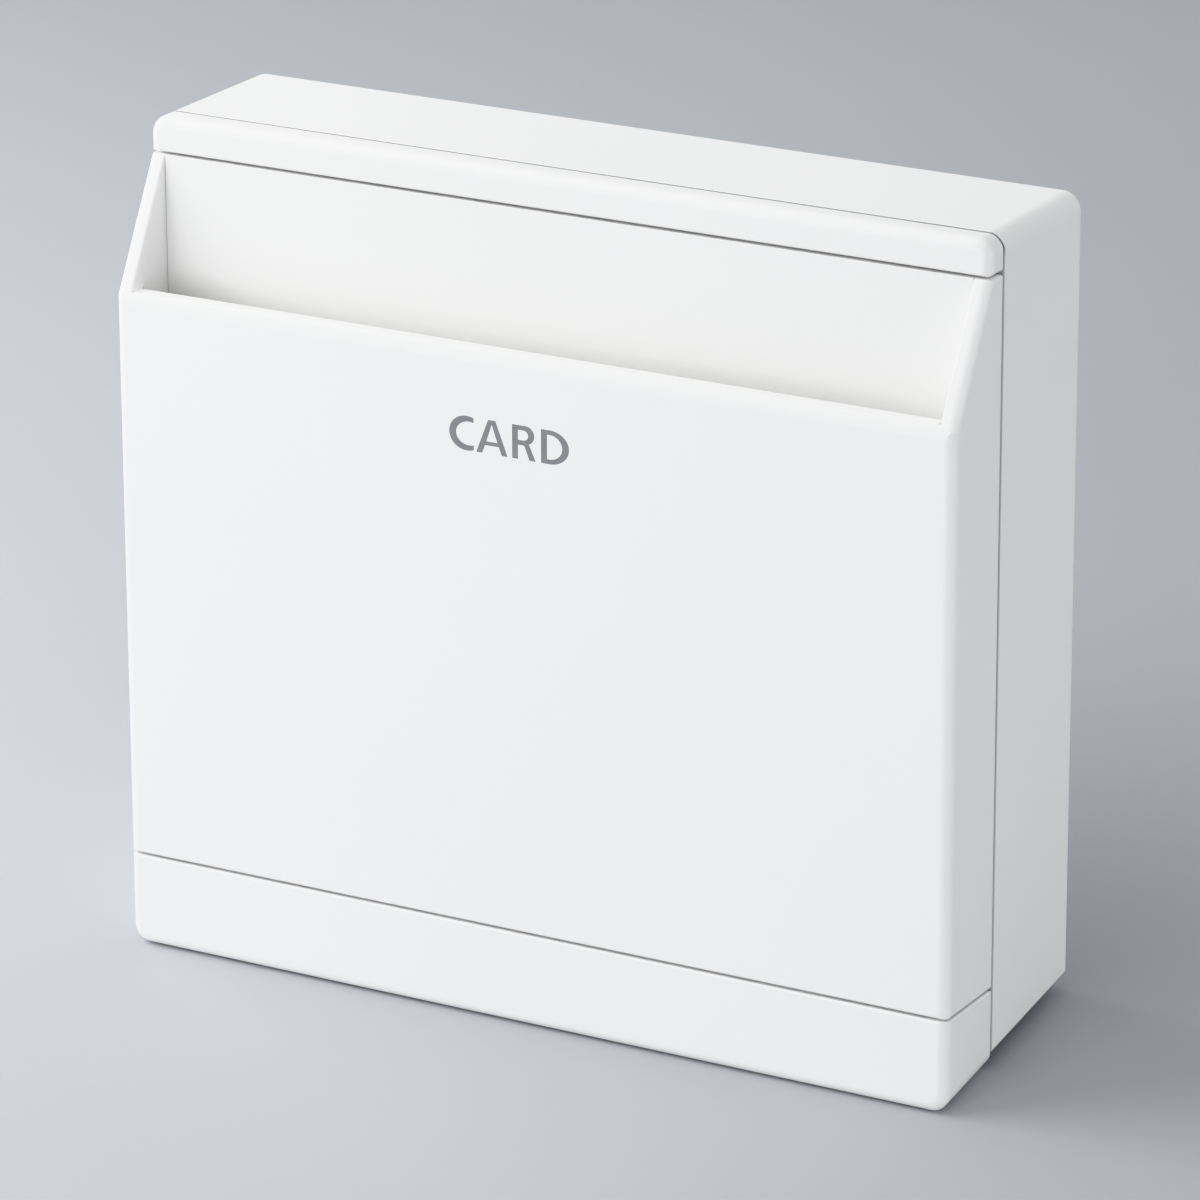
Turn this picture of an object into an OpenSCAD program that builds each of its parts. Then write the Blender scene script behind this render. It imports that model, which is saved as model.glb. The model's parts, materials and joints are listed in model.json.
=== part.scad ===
// Hotel key card switch: a box on the wall with a card pocket, a card lever and a delay timer.
// Millimetres. Origin on the wall face at half the body's height and width.
// X right, Y to the wall, Z up; the front looks to -Y.

/* [Body] */
// Width of the body
body_w = 100; // [98:0.5:110]
// Height of the body
body_h = 92; // [91:0.5:100]
// Depth of the wall base, from the wall to the seam
base_d = 17.5; // [17:0.25:22]
// Depth of the front mouldings, from the seam to the front
front_d = 10.5; // [10.25:0.25:13]
// Thickness of the base's sides
base_wall = 2; // [1.8:0.1:2.4]
// Thickness of the base's back
back_t = 2; // [1.6:0.1:2.4]
// Corner radius of the body, seen from the front
corner_r = 2; // [1.5:0.1:3]
// Radius of the front's upright edges
edge_r = 1.2; // [0.5:0.1:1.5]
// Radius of the edges along the seams
soft_r = 0.25; // [0.2:0.05:0.6]
// Radius of the corners where the strip's seam meets the side seam
meet_r = 0.4; // [0.3:0.1:0.8]
// Gap of the seams between the mouldings
seam = 0.3; // [0.2:0.05:0.6]
// Gap between mouldings that fit into each other
fit_gap = 0.2; // [0.1:0.05:0.3]
// Gap between the plate and the cheeks beside it
plate_gap = 0.05; // [0.05:0.05:0.2]
// Angle at which the underside rises to the wall
under_lean = 9; // [4:0.5:10]
// Radius of the base's lower edges
foot_r = 0.6; // [0.3:0.1:1.5]
// Step up from the strip's underside to the base's
under_step = 1.4; // [0.4:0.1:1.6]

/* [Card pocket] */
// Height of the top bar
bar_h = 3.8; // [3.6:0.1:5]
// Depth of the top bar in front of the seam
bar_d = 3; // [2.6:0.1:3.2]
// Radius round the front of the bar, along its top and ends
bar_r = 1.2; // [0.5:0.1:1.4]
// Height of the bottom strip
strip_h = 10.4; // [9.6:0.1:12]
// Radius of the strip's lower corners, seen from the front
strip_r = 2; // [1.3:0.1:3]
// Height of the pocket's lip above the bottom
lip_h = 74.5; // [64:0.5:78]
// Radius along the front of the lip
lip_r = 0.8; // [0.4:0.1:1.4]
// How far under the lip the cheeks turn into the front
knee_drop = 0.7; // [0:0.1:3]
// Radius where the cheeks turn into the front
knee_r = 3; // [0.5:0.1:6]
// Radius of the cheeks' slanted outer edges
cheek_r = 1; // [0.3:0.1:1.2]
// Radius where the lip meets the cheeks
mouth_r = 0.6; // [0.3:0.1:1]
// Radius of the cheeks' top corners
ear_r = 0.5; // [0.3:0.1:1.5]
// Thickness of the cheeks
cheek_t = 1.9; // [1.8:0.1:2.2]
// Thickness of the pocket's front wall
front_t = 2.2; // [1.8:0.1:2.4]
// Thickness of the plate behind the pocket
plate_t = 2; // [1.6:0.1:2.2]
// Height of the pocket's floor above the bottom
floor_h = 32.5; // [27:0.5:33.5]
// Thickness of the pocket's floor and of the shelf at its foot
shelf_t = 2; // [1.6:0.1:2.5]
// Thickness of the ribs under the floor
rib_t = 1.5; // [1:0.1:2]
// Height of the ribs under the floor
rib_h = 9; // [4:0.5:12]
// Distance from rib to rib
rib_pitch = 24; // [16:0.5:28]

/* [Clips] */
// Width of every clip
clip_w = 8; // [5:0.5:10]
// Thickness of the clips
clip_t = 1.4; // [1.2:0.1:1.5]
// How far the clips reach into the base
clip_reach = 5.5; // [4.5:0.5:7]
// Height of the barbs
barb_h = 0.7; // [0.4:0.1:0.8]
// Length of the barbs
barb_l = 1.6; // [1:0.1:2]
// Height of the upper side clips above the middle
side_clip_hi = 12; // [8:0.5:20]
// Height of the lower side clips above the middle
side_clip_lo = -20; // [-22:0.5:-14]
// Distance of the bar's clips from the middle
bar_clip_x = 20; // [12:0.5:24]
// Distance of the strip's clips from the middle
strip_clip_x = 13; // [10:0.5:18]
// Distance of the plate's hooks from the middle
hook_x = 36; // [34:0.5:38]
// Thickness of the tongues that close the seams from inside
tongue_t = 0.9; // [0.7:0.1:1]
// How far the tongues reach past the seams
tongue_d = 0.3; // [0.2:0.05:0.3]

/* [Card lever] */
// Height of the lever's pin above the middle
pivot_z = 11; // [10:0.25:12]
// Distance of the pin behind the plate
pivot_gap = 3.3; // [3.2:0.1:3.6]
// Diameter of the pin
pin_d = 2; // [1.6:0.1:2.2]
// Clearance of the lever on the pin, all round
pin_fit = 0.04; // [0.02:0.01:0.08]
// Width of the lever
lever_w = 7; // [5:0.5:7.5]
// Thickness of the lever's arm
arm_t = 1.7; // [1.4:0.1:1.9]
// Radius of the lever's hub
hub_r = 2.2; // [1.9:0.1:2.3]
// Length of the arm under the pin
arm_l = 19.5; // [18.5:0.5:20.5]
// Reach of the nose in front of the pin, before its tip is rounded
nose_reach = 10.9; // [10.5:0.1:11]
// Depth of the nose's tip under the pin
nose_drop = 12.6; // [12:0.1:13]
// Depth of the nose's upper root under the pin
nose_top = 4.8; // [4.4:0.1:5.2]
// Depth of the nose's lower root under the pin
nose_foot = 15.5; // [15:0.1:15.8]
// Radius of the nose's tip
nose_r = 0.8; // [0.5:0.1:1.2]
// Depth under the pin of the bump that presses the switch
bump_drop = 3; // [2.8:0.1:3.2]
// Radius of the bump
bump_r = 0.7; // [0.5:0.1:0.9]
// How far the bump stands out behind the pin's axis
bump_out = 1; // [0.9:0.05:1.1]
// Gap of the window round the nose
window_gap = 0.6; // [0.5:0.1:0.8]
// Thickness of the ears that hold the pin
ear_t = 2; // [1.6:0.1:2.4]
// Radius of the ears round the pin
ear_round = 2.6; // [2.2:0.1:2.8]

/* [Return spring] */
// Diameter of the spring's wire
wire_d = 0.5; // [0.4:0.05:0.5]
// Diameter of the coil, middle to middle of the wire
coil_d = 4; // [3.6:0.1:4.4]
// Whole turns of the coil
coil_turns = 4; // [2:1:4]
// Pitch of the coil
coil_pitch = 0.95; // [0.92:0.01:1]
// Depth under the pin at which the leg hooks behind the arm
leg_drop = 9; // [8.5:0.25:10]

/* [Board] */
// Width of the circuit board
board_w = 70; // [68.5:0.5:71]
// Height of the circuit board
board_h = 48; // [47.5:0.5:52]
// Height of the board's middle above the middle of the body
board_z = 10; // [9:0.25:10.5]
// Thickness of the board
board_t = 1.6; // [1:0.1:1.8]
// Gap between the board and the base's back
board_gap = 2.6; // [2.2:0.1:2.8]
// Diameter of the component leads
lead_d = 0.8; // [0.6:0.1:1]
// Drilled clearance round each lead
lead_fit = 0.1; // [0.05:0.05:0.2]
// Length of the leads behind the board
lead_tail = 1.2; // [0.6:0.1:1.5]
// Length of the microswitch
switch_l = 12.8; // [12.4:0.1:13.5]
// Width of the microswitch
switch_w = 5.8; // [5:0.1:6.4]
// How far the plunger stands out of the microswitch
plunger_out = 1.5; // [1.4:0.1:1.6]
// Diameter of the plunger
plunger_d = 1.8; // [1.4:0.1:2]
// Distance of the plunger from the microswitch's lower end
plunger_end = 2.5; // [2.4:0.1:3]

/* [Parts on the board] */
// Length of the relay
relay_l = 20; // [16:0.5:21]
// Width of the relay
relay_w = 12; // [9:0.5:12.5]
// Height of the relay
relay_h = 10; // [8:0.5:10.5]
// Length of the film capacitor
film_l = 18; // [13:0.5:18.5]
// Width of the film capacitor
film_w = 8; // [5:0.5:9]
// Height of the film capacitor
film_h = 10.5; // [8:0.5:11]
// Diameter of the filter capacitor
filter_d = 10; // [6.5:0.5:10.5]
// Height of the filter capacitor
filter_h = 10.5; // [8:0.5:11]
// Diameter of the varistor
varistor_d = 9; // [7:0.5:9.5]
// Thickness of the varistor
varistor_t = 3.6; // [2.5:0.1:3.8]
// Diameter of the fuse
fuse_d = 8.4; // [7:0.1:8.5]
// Height of the fuse
fuse_h = 7.5; // [6:0.5:9]
// Length of the timer chip
chip_l = 9.6; // [9:0.1:10.2]
// Width of the timer chip
chip_w = 6.4; // [6:0.1:6.6]
// Height of the timer chip
chip_h = 3.4; // [2.5:0.1:4]
// Pitch of the terminals
way_pitch = 7.62; // [7.2:0.01:7.62]
// Distance of each terminal block's middle from the middle of the body
block_x = 20.6; // [20.2:0.1:21]
// Length of the terminal blocks along the wires
block_l = 10; // [9:0.5:10]
// Height of the terminal blocks
block_h = 10; // [9.5:0.5:10.5]

/* [Fixing] */
// Distance between the two wall screws
wall_pitch = 83.5; // [80:0.5:84]
// Diameter of the wall screw holes
wall_hole_d = 4.5; // [3.5:0.1:5]
// Diameter of the raised pads round the wall screw holes
wall_pad_d = 11; // [9:0.5:12]
// Height of the raised pads
wall_pad_h = 1.2; // [0.6:0.1:2]
// Diameter of the cable entry
entry_d = 20; // [16:0.5:20.5]
// Height of the cable entry above the bottom
entry_h = 19; // [18.5:0.25:19.25]
// Height of the collar round the cable entry
collar_h = 2; // [1:0.5:3]
// Thickness of the collar
collar_t = 1.4; // [1:0.1:1.6]
// Shank diameter of the board screws
board_screw_d = 2.5; // [2:0.1:2.6]
// Shank diameter of the plate screws and the front screws
body_screw_d = 3; // [2.5:0.1:3.2]
// Length of the board screws' shanks
board_screw_l = 4.8; // [4:0.1:5]
// Length of the plate screws' shanks
plate_screw_l = 10; // [8:0.5:12]
// Length of the front screws' shanks
front_screw_l = 8; // [6:0.5:10]
// Outer diameter of the screw posts in the base
post_d = 5.8; // [5.2:0.1:5.8]
// Distance of the plate screws from the middle
plate_screw_x = 38; // [36:0.5:39]
// Height of the plate screws above the bottom
plate_screw_h = 20; // [19.5:0.25:22]
// Distance of the front screws from the middle
front_screw_x = 30; // [27:0.5:32]
// Height of the front screws above the bottom
front_screw_h = 7.7; // [7.6:0.1:7.8]

/* [Hidden] */
$fn = 64;
half_w = body_w / 2;
top_z = body_h / 2;
low_z = -top_z;
inner_w = half_w - cheek_t;
in_x = half_w - base_wall;
in_z = top_z - base_wall;
rim_y = -base_d + seam / 2;
rear_y = -base_d - seam / 2;
front_y = -base_d - front_d;
face_y = -base_d - bar_d;
plate_y = face_y + plate_t;
bar_z = top_z - bar_h;
cheek_z = bar_z - seam;
strip_z = low_z + strip_h;
foot_z = strip_z + seam;
lip_z = low_z + lip_h;
knee_z = lip_z - knee_drop;
slant_lean = atan2(face_y - front_y, cheek_z - knee_z);
floor_z = low_z + floor_h;
shelf_z = foot_z + soft_r;
tongue_y = rear_y - tongue_d;
tongue_low = under_step + base_wall + fit_gap;
seam_s = front_d / cos(under_lean) + tongue_low * tan(under_lean);
rear_s = seam_s - seam / 2;
in_foot = low_z + (base_d + front_d) * tan(under_lean) + under_step / cos(under_lean) + base_wall;
tongue_top = in_z - fit_gap;
root_d = 1.2;
plate_low = shelf_z + shelf_t + fit_gap;
plate_w = inner_w - plate_gap;
pivot_y = plate_y + pivot_gap;
board_back = -back_t - board_gap;
board_front = board_back - board_t;
bump_y = pivot_y + bump_out;
bump_z = pivot_z - bump_drop;
plunger_gap = 0.1;
plunger_y = bump_y + plunger_gap;
case_y = plunger_y + plunger_out;
case_low = bump_z - plunger_end;
case_mid = case_low + switch_l / 2;
plunger_stroke = 1.15;
plunger_sleeve = 1;
plunger_foot = 0.8;
hub_half = lever_w / 2;
left_ear = -hub_half - 0.5;
coil_x = hub_half + 1.2;
coil_exit = 60;
coil_end = coil_x + (coil_turns + coil_exit / 360) * coil_pitch;
right_ear = coil_end + wire_d / 2 + 0.4;
pin_left = left_ear - ear_t;
pin_right = right_ear + ear_t;
clip_ring_t = 0.6;
head_t = 0.8;
screw_slot = 0.7;
entry_z = low_z + entry_h;
plate_screw_z = low_z + plate_screw_h;
front_screw_z = low_z + front_screw_h;
tab_half = 5;
side_rib_z = 25;
plate_rib_h = 3;
plate_rib_z = -17;
tab_t = 2;
board_post_x = 32.5;
board_posts = [[-board_post_x, 31.5], [board_post_x, 31.5], [-board_post_x, 0], [board_post_x, 0]];
screw_fit = 0.05;
relay_at = [-20, 22.5];
film_at = [20.5, 23.5];
filter_at = [27, 11.3];
varistor_at = [17.5, 3.6];
fuse_at = [-27, 8];
chip_at = [-15, 8];
block_z = -8;
way_count = 3;
blocks = [-block_x, block_x];
ways = [for (b = blocks, i = [0 : way_count - 1]) b + (i - (way_count - 1) / 2) * way_pitch];
pin_pitch = 2.54;
way_lead_up = 4.2;
chip_notch_d = 1.6;
wire_mid = 2.2;
wire_half = 1.5;
wire_half_w = 1.9;
way_tip_up = 2.6;
cage_w = 5.2;
cage_l = 5.6;
cage_h = 5.6;
cage_up = 1.6;
cage_gap = 0.15;
way_screw_d = 2.4;
way_head_d = 3.6;
way_head_h = 1.6;
relay_leads = [for (p = [[-8, -4], [-8, 4], [0, 4], [8, -4], [8, 4]]) relay_at + p];
film_leads = [film_at - [7.5, 0], film_at + [7.5, 0]];
filter_leads = [filter_at - [0, 2.5], filter_at + [0, 2.5]];
varistor_leads = [varistor_at - [2.5, 0], varistor_at + [2.5, 0]];
fuse_leads = [fuse_at - [pin_pitch, 0], fuse_at + [pin_pitch, 0]];
chip_leads = [for (i = [-1.5 : 1.5], s = [-1.5, 1.5]) chip_at + [i * pin_pitch, s * pin_pitch]];
switch_leads = [for (i = [-1 : 1]) [0, case_mid + 2 * i * pin_pitch]];
way_leads = [for (x = ways) [x, block_z + way_lead_up]];
lead_spots = concat(relay_leads, film_leads, filter_leads, varistor_leads, fuse_leads, chip_leads,
    switch_leads, way_leads);

// Drawing helpers

function unit(v) = v / norm(v);

function span(middle, half) = [middle - half, middle + half];

// Takes the corner at p, between its neighbours a and b, off to radius r
module round_corner(a, p, b, r) {
    u = unit(a - p);
    v = unit(b - p);
    half = acos(u * v) / 2;
    reach = r / tan(half);
    mid = unit(u + v);
    centre = p + mid * r / sin(half);
    difference() {
        polygon([p - mid * r, p + u * reach, centre, p + v * reach]);
        translate(centre) circle(r);
    }
}

// A convex outline with a radius for each corner
module rounded(points, radii) {
    n = len(points);
    difference() {
        polygon(points);
        for (i = [0 : n - 1])
            if (radii[i] > 0)
                round_corner(points[(i + n - 1) % n], points[i], points[(i + 1) % n], radii[i]);
    }
}

// Corners in the order lower left, lower right, upper right, upper left
module box_outline(u, v, radii)
    rounded([[u[0], v[0]], [u[1], v[0]], [u[1], v[1]], [u[0], v[1]]], radii);

module along_x(x)
    translate([x[0], 0, 0]) rotate([90, 0, 90]) linear_extrude(x[1] - x[0]) children();

module along_y(y)
    translate([0, y[1], 0]) rotate([90, 0, 0]) linear_extrude(y[1] - y[0]) children();

module along_z(z)
    translate([0, 0, z[0]]) linear_extrude(z[1] - z[0]) children();

module block(x, y, z)
    translate([x[0], y[0], z[0]]) cube([x[1] - x[0], y[1] - y[0], z[1] - z[0]]);

module rod_x(x, d) translate([x[0], 0, 0]) rotate([0, 90, 0]) cylinder(h = x[1] - x[0], d = d);

module rod_y(y, d) translate([0, y[1], 0]) rotate([90, 0, 0]) cylinder(h = y[1] - y[0], d = d);

module both() {
    children();
    mirror([1, 0, 0]) children();
}

// A block whose edges are rounded as seen from the side, from the front and from above
module moulding(x, y, z, side, face, plan) {
    over = [-1, 1];
    intersection() {
        along_x(x + over) box_outline(y, z, side);
        along_y(y + over) box_outline(x, z, face);
        along_z(z + over) box_outline(x, y, plan);
    }
}

// A plate whose front edge is rounded to r along its top, its ends and its two upper corners
module crowned(half, y, z, big, r) {
    along_x([big - half, half - big]) box_outline(y, z, [0, 0, 0, r]);
    both() {
        along_z([z[0], z[1] - big]) box_outline([half - big, half], y, [0, r, 0, 0]);
        translate([half - big, 0, z[1] - big]) intersection() {
            rotate([90, 0, 0]) rotate_extrude()
                rounded([[0, -y[1]], [big, -y[1]], [big, -y[0]], [0, -y[0]]], [0, 0, r, 0]);
            block([0, big], y, [0, big]);
        }
    }
}

// A pan-head screw with a crossed recess; its head faces the front and rests at y = 0
module pan_screw(d, l) {
    head_r = d * 0.95;
    head_h = d * 0.6;
    edge = head_h / 3;
    difference() {
        rotate([90, 0, 0]) rotate_extrude() rounded([[0, -l], [d / 2 - edge, -l], [d / 2, -l + edge],
            [d / 2, 0], [head_r, 0], [head_r, head_h - edge], [head_r - edge, head_h], [0, head_h]],
            [0, 0, 0, 0, 0, 0, 0, 0]);
        for (turn = [0, 90])
            rotate([0, turn, 0]) block([-head_r * 0.6, head_r * 0.6], [-head_h - 1, -head_h / 2],
                [-screw_slot / 2, screw_slot / 2]);
    }
}

module at(p, y) translate([p[0], y, p[1]]) children();

// Puts Y along the underside from its front edge, and Z square to it
module under_space()
    translate([0, front_y, low_z]) rotate([under_lean, 0, 0]) children();

// Rounds the long edges of the underside
module under_prism(up, r)
    along_y([-body_h, body_h])
        box_outline([-half_w, half_w], [up, 2 * body_h], [r, r, 0, 0]);

// Wall base

module base_shell() {
    base_rise = low_z + (front_d + seam / 2) * tan(under_lean) + under_step / cos(under_lean);
    difference() {
        intersection() {
            moulding([-half_w, half_w], [rim_y, 0], [low_z, top_z], [0, 0, 0, soft_r],
                [0, 0, corner_r, corner_r], [soft_r, soft_r, 0, 0]);
            under_space() under_prism(under_step, foot_r);
            along_x([-half_w - 1, half_w + 1])
                rounded([[rim_y, base_rise], [0, base_rise + base_d * tan(under_lean)], [0, top_z + 1],
                    [rim_y, top_z + 1]], [soft_r, 0, 0, 0]);
        }
        intersection() {
            along_y([rim_y - 1, -back_t]) box_outline([-in_x, in_x], [low_z, in_z], [0, 0, 1, 1]);
            under_space() along_y([0, body_h])
                box_outline([-in_x, in_x], [under_step + base_wall, body_h], [1, 1, 0, 0]);
        }
    }
}

module post(p, y) at(p, 0) rod_y([y, -back_t / 2], post_d);

// Closes the side seam from inside; it leaves room for the side clips
module side_tongues() {
    skin = min(in_x, inner_w) - fit_gap;
    room = clip_w / 2 + 2 * fit_gap;
    for (z = [[in_foot + 2 * fit_gap, side_clip_lo - room], [side_clip_lo + room, side_clip_hi - room],
            [side_clip_hi + room, cheek_z - root_d]])
        along_z(z) polygon([[in_x + 0.5, rim_y + 1], [in_x + 0.5, rim_y + 3], [skin - tongue_t, rim_y + 4],
            [skin - tongue_t, tongue_y], [skin, tongue_y], [skin, rim_y + 1]]);
}

module base_solid() {
    base_shell();
    for (p = board_posts)
        at(p, 0) rod_y([board_back, -back_t / 2], post_d);
    both() {
        post([plate_screw_x, plate_screw_z], plate_y);
        intersection() {
            post([front_screw_x, front_screw_z], rear_y);
            under_space() block([0, body_w], [0, body_h], [under_step + base_wall / 2, body_h]);
        }
        side_tongues();
        // webs from the plate posts to the sides
        block([plate_screw_x, in_x + 0.5], [rim_y + 3, -back_t / 2], span(plate_screw_z, rib_t / 2));
        // webs from the front posts to the foot
        under_space() block(span(front_screw_x, rib_t / 2), [rear_s + 3, rear_s + base_d - back_t],
            [tongue_low - base_wall / 2, tongue_low + 2]);
        at([wall_pitch / 2, 0], 0) rod_y([-back_t - wall_pad_h, -back_t / 2], wall_pad_d);
        // catches over the plate's hooks
        block(span(hook_x, clip_w / 2), [plate_y + 2, plate_y + clip_reach],
            [cheek_z - fit_gap, in_z + 0.5]);
        // ribs on the back
        block([board_w / 2 + 2, in_x + 0.5], [-back_t - wall_pad_h, -back_t / 2],
            span(side_rib_z, rib_t / 2));
        block(span(plate_screw_x, rib_t / 2), [-back_t - wall_pad_h, -back_t / 2],
            [in_foot - base_wall / 2, plate_screw_z]);
    }
    at([0, entry_z], 0) rod_y([-back_t - collar_h, -back_t / 2], entry_d + 2 * collar_t);
}

module wall_base() color("whitesmoke") {
    bite = barb_h + fit_gap;
    barb_y = [rear_y + clip_reach - barb_l - fit_gap, rear_y + clip_reach + fit_gap];
    hole_w = clip_w / 2 + fit_gap;
    difference() {
        base_solid();
        at([0, entry_z], 0) rod_y([-back_t - collar_h - 1, 1], entry_d);
        both() {
            at([wall_pitch / 2, 0], 0) rod_y([-back_t - wall_pad_h - 1, 1], wall_hole_d);
            at([plate_screw_x, plate_screw_z], 0)
                rod_y([plate_y - 1, plate_y + plate_screw_l], body_screw_d + 2 * screw_fit);
            at([front_screw_x, front_screw_z], 0)
                rod_y([rear_y - 1, rear_y + front_screw_l], body_screw_d + 2 * screw_fit);
            // bites for the barbs
            for (z = [side_clip_hi, side_clip_lo])
                block([in_x - 0.5, in_x + bite], barb_y, span(z, hole_w));
            block(span(bar_clip_x, hole_w), barb_y, [in_z - 0.5, in_z + bite]);
            under_space() block(span(strip_clip_x, hole_w),
                [rear_s + clip_reach - barb_l - fit_gap, rear_s + clip_reach + fit_gap],
                [tongue_low - fit_gap - bite, tongue_low + 0.5]);
        }
        for (p = board_posts)
            at(p, 0) rod_y([board_back - 1, board_front + board_screw_l + 0.3],
                board_screw_d + 2 * screw_fit);
    }
}

// Card pocket

module front_outline()
    rounded([[front_y, foot_z], [rear_y, foot_z], [rear_y, cheek_z], [face_y, cheek_z], [front_y, knee_z]],
        [soft_r, meet_r, meet_r, ear_r, knee_r]);

// Puts Z along the cheeks' slants from the knee, and Y square to them
module slant_space()
    translate([0, front_y, knee_z]) rotate([-slant_lean, 0, 0]) children();

// Rounds the outer edges of the cheeks' slants
module slant_prism()
    slant_space() along_z([-body_h, body_h])
        box_outline([-half_w, half_w], [0, body_h], [cheek_r, cheek_r, 0, 0]);

// Takes off the inner edges of the cheeks' slants, above the lip
module slant_edges()
    slant_space() both() along_z([knee_drop / cos(slant_lean), body_h])
        round_corner([inner_w, body_h], [inner_w, 0], [half_w, 0], soft_r);

module front_block() {
    intersection() {
        along_x([-half_w - 1, half_w + 1]) front_outline();
        along_y([front_y - 1, rear_y + 1])
            box_outline([-half_w, half_w], [foot_z, cheek_z], [soft_r, soft_r, ear_r, ear_r]);
        along_z([foot_z - 1, cheek_z + 1])
            box_outline([-half_w, half_w], [front_y, rear_y], [edge_r, edge_r, soft_r, soft_r]);
        slant_prism();
    }
}

module front_hollow() {
    wall_y = front_y + front_t;
    along_z([foot_z - 1, cheek_z + 1])
        box_outline([-inner_w, inner_w], [wall_y, rear_y + 1], [0.8, 0.8, 0, 0]);
    along_y([front_y - 1, wall_y + 1])
        box_outline([-inner_w, inner_w], [lip_z, cheek_z + 1], [mouth_r, mouth_r, 0, 0]);
    along_x([-inner_w, inner_w]) {
        round_corner([front_y, lip_z - 9], [front_y, lip_z], [wall_y, lip_z], lip_r);
        round_corner([front_y, lip_z], [wall_y, lip_z], [wall_y, lip_z - 9], soft_r);
    }
}

// A clip that points to the wall, with its barb on the outer side; outward is +X
module side_clip() {
    skin = in_x - fit_gap;
    tip_y = rear_y + clip_reach;
    along_z([-clip_w / 2, clip_w / 2])
        polygon([[skin - clip_t, face_y + fit_gap], [inner_w + 0.5, face_y + fit_gap],
            [inner_w + 0.5, rear_y - soft_r], [skin, rear_y - soft_r], [skin, tip_y - barb_l],
            [skin + barb_h + fit_gap, tip_y - barb_l], [skin, tip_y], [skin - clip_t, tip_y]]);
}

module pocket_front() color("white") {
    wall_y = front_y + front_t - 0.4;
    side = inner_w + 0.5;
    difference() {
        union() {
            difference() {
                front_block();
                front_hollow();
                slant_edges();
            }
            block([-side, side], [wall_y, face_y - fit_gap], [floor_z - shelf_t, floor_z]);
            block([-side, side], [wall_y, tongue_y - fit_gap], [shelf_z, shelf_z + shelf_t]);
            for (i = [-1 : 1])
                along_x(span(i * rib_pitch, rib_t / 2))
                    polygon([[wall_y, floor_z - shelf_t + 0.3], [face_y - 1, floor_z - shelf_t + 0.3],
                        [face_y - 1, floor_z - shelf_t - 1], [wall_y, floor_z - shelf_t - rib_h]]);
            both() {
                for (z = [side_clip_hi, side_clip_lo])
                    translate([0, 0, z]) side_clip();
                block(span(front_screw_x, tab_half), [rear_y - tab_t, rear_y],
                    [front_screw_z - body_screw_d, shelf_z + 0.5]);
                along_x([front_screw_x + tab_half - rib_t, front_screw_x + tab_half])
                    polygon([[rear_y - tab_t + 0.3, shelf_z + 0.3], [rear_y - tab_t + 0.3, front_screw_z],
                        [front_y + front_t + 1, shelf_z + 0.3]]);
            }
        }
        both() at([front_screw_x, front_screw_z], 0)
            rod_y([rear_y - tab_t - 1, rear_y + 1], body_screw_d + 0.4);
    }
}

module pin_ear(x)
    along_x([x, x + ear_t]) union() {
        translate([pivot_y, pivot_z]) circle(ear_round);
        translate([plate_y - 0.5, pivot_z - ear_round]) square([pivot_gap + 0.5, 2 * ear_round]);
    }

module pocket_back() color("snow") {
    win_x = lever_w / 2 + window_gap;
    difference() {
        union() {
            difference() {
                along_y([face_y, plate_y])
                    box_outline([-plate_w, plate_w], [plate_low, cheek_z], [1, 1, 0, 0]);
                along_x([-half_w, half_w])
                    round_corner([face_y, floor_z], [face_y, cheek_z], [plate_y, cheek_z], plate_gap);
            }
            pin_ear(left_ear - ear_t);
            pin_ear(right_ear);
            both() {
                // hooks that go under the catches of the base
                block(span(hook_x, clip_w / 2), [plate_y - 0.5, plate_y + clip_reach],
                    [cheek_z - 2 * fit_gap - clip_t, cheek_z - 2 * fit_gap]);
                // stiffening ribs beside the cable space
                block(span(rib_pitch, rib_t / 2), [plate_y - 0.5, plate_y + plate_rib_h],
                    [plate_low + 1, plate_rib_z]);
            }
            block([-rib_pitch, rib_pitch], [plate_y - 0.5, plate_y + plate_rib_h],
                span(plate_rib_z, rib_t / 2));
        }
        block([-win_x, win_x], [face_y - 1, plate_y + 1],
            [pivot_z - nose_foot - 0.1 - window_gap, pivot_z - nose_top - 0.5]);
        translate([0, pivot_y, pivot_z]) rod_x([pin_left - 1, pin_right + 1], pin_d + pin_fit);
        both() {
            at([plate_screw_x, plate_screw_z], 0)
                rod_y([face_y - 1, plate_y + 1], body_screw_d + 0.4);
            for (z = [side_clip_hi, side_clip_lo])
                block([half_w - base_wall - clip_t - 3 * fit_gap, half_w], [face_y - 1, plate_y + 1],
                    span(z, clip_w / 2 + fit_gap));
        }
    }
}

module bar_clip() {
    tip_y = rear_y + clip_reach;
    top = tongue_top;
    along_x([-clip_w / 2, clip_w / 2])
        polygon([[rear_y - 0.5, top - clip_t], [tip_y, top - clip_t], [tip_y, top],
            [tip_y - barb_l, top + barb_h + fit_gap], [tip_y - barb_l, top], [rear_y - 0.5, top]]);
}

module top_bar() color("white") {
    intersection() {
        crowned(half_w, [face_y, rear_y], [bar_z - 1, top_z], corner_r, bar_r);
        moulding([-half_w, half_w], [face_y, rear_y], [bar_z, top_z], [soft_r, soft_r, soft_r, 0],
            [ear_r, ear_r, 0, 0], [0, 0, soft_r, soft_r]);
    }
    both() translate([bar_clip_x, 0, 0]) bar_clip();
    block([root_d - in_x, in_x - root_d], [rear_y - 0.5, rear_y + tongue_t],
        [tongue_top - tongue_t, tongue_top]);
}

module strip_clip() {
    tip = rear_s + clip_reach;
    root = base_wall - 0.5;
    low = tongue_low;
    along_x([-clip_w / 2, clip_w / 2])
        polygon([[rear_s - bar_d, low + clip_t], [rear_s - bar_d, root], [rear_s - soft_r - seam, root],
            [rear_s - soft_r, low], [tip - barb_l, low], [tip - barb_l, low - barb_h - fit_gap],
            [tip, low], [tip, low + clip_t]]);
}

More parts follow.
